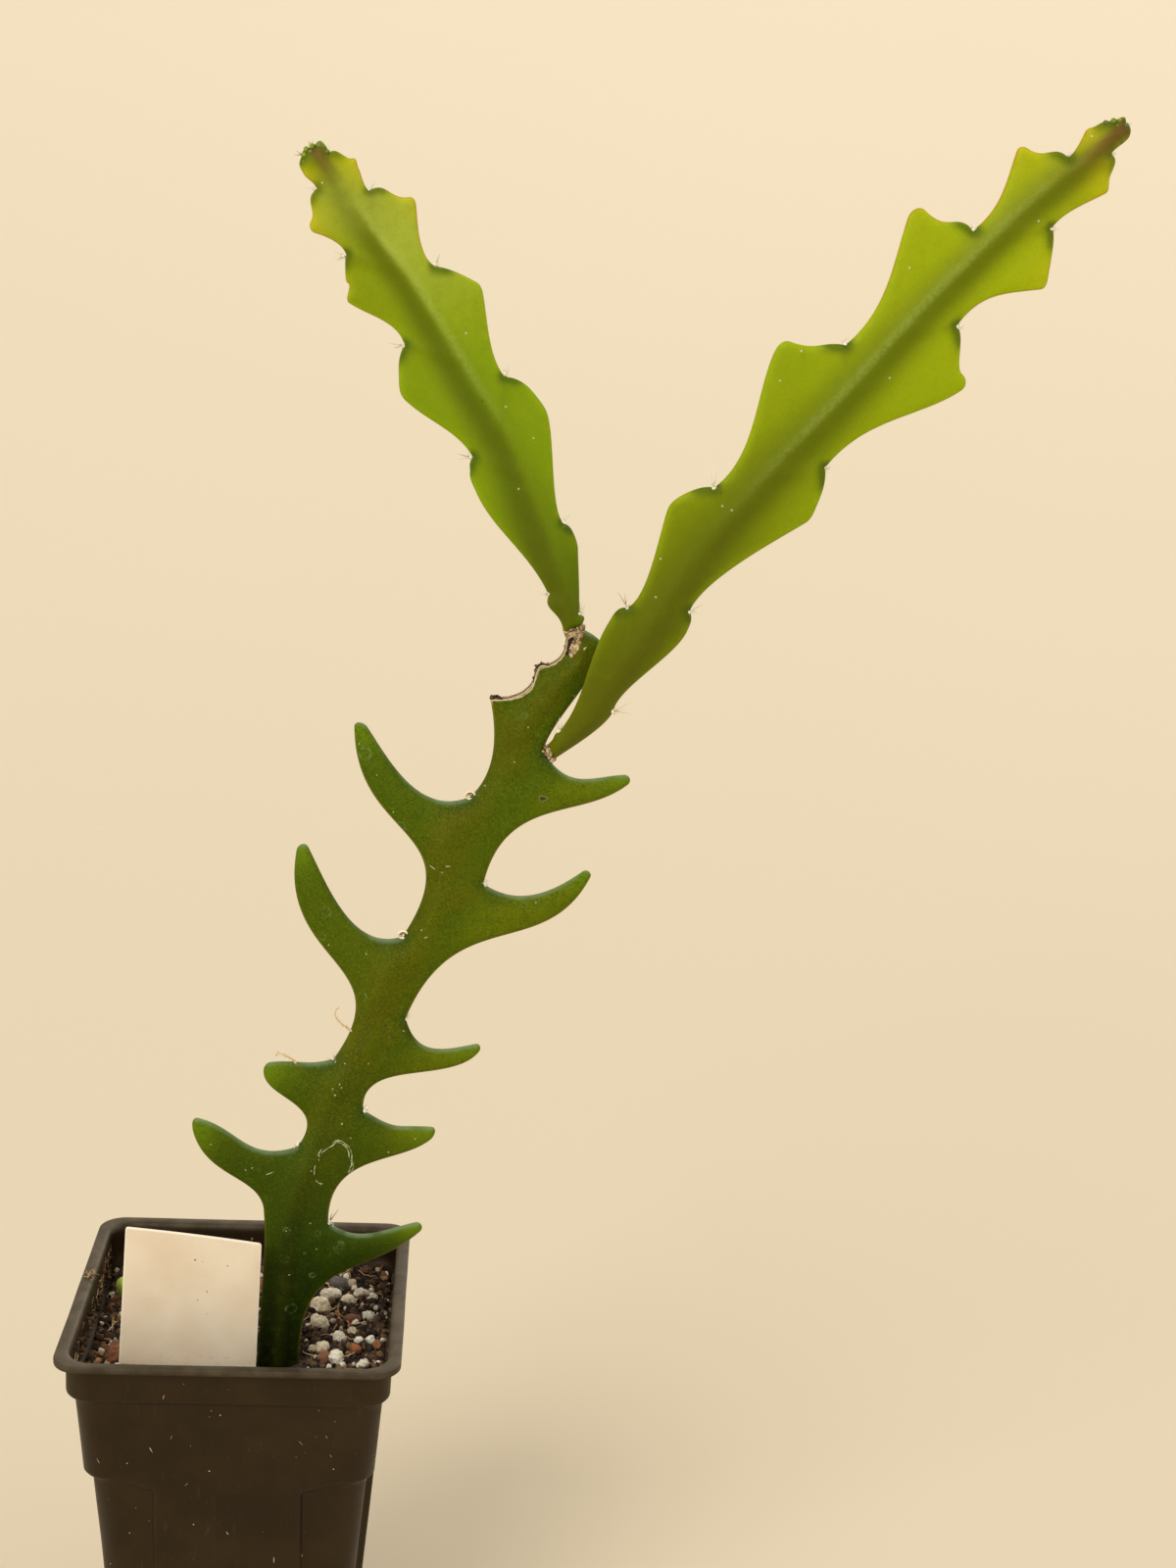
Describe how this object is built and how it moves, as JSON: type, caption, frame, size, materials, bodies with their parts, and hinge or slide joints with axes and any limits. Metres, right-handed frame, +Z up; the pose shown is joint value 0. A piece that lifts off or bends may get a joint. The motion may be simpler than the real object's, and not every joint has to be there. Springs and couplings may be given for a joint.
{
  "type": "potted ric rac cactus",
  "caption": "Potted ric rac cactus: a flat zigzag stem with two lobed young shoots, in a square nursery pot of gritty mix with a blank plant label.",
  "frame": {"origin": "centre of the pot's flat underside, on the ground", "axes": "+Z up, the way the plant grows; +X to the right of the pot's front, the way the long shoot leans; -Y out of the pot's front face"},
  "size_m": [0.2511, 0.09, 0.4454],
  "materials": {
    "pot_plastic": "matt, lightly scratched and dusty",
    "potting_mix": "crumbly, moist bark and peat",
    "old_stem": "waxy, finely stippled",
    "young_shoot": "smooth, translucent, satin",
    "roots": "matt, fibrous",
    "sprout": "smooth, waxy",
    "label_plastic": "satin, blank",
    "pumice": "matt, porous",
    "perlite": "matt, foamed",
    "pebble": "smooth, dull",
    "bark": "rough, fibrous"
  },
  "bodies": {
    "root": {"pot": "pot_plastic", "potting_mix": "potting_mix", "main_stem": "old_stem", "left_shoot": "young_shoot", "right_shoot": "young_shoot", "roots": "roots", "sprout": "sprout", "plant_label": "label_plastic", "pumice_01": "pumice", "pumice_02": "pumice", "pumice_03": "pumice", "pumice_04": "pumice", "pumice_05": "pumice", "perlite_01": "perlite", "perlite_02": "perlite", "perlite_03": "perlite", "perlite_04": "perlite", "perlite_05": "perlite", "perlite_06": "perlite", "perlite_07": "perlite", "perlite_08": "perlite", "pebble_01": "pebble", "bark_01": "bark", "bark_02": "bark", "bark_03": "bark", "bark_04": "bark", "bark_05": "bark", "bark_06": "bark", "perlite_09": "perlite", "perlite_10": "perlite", "perlite_11": "perlite", "perlite_12": "perlite", "pumice_06": "pumice", "pumice_07": "pumice", "pebble_02": "pebble"}
  },
  "joints": []
}
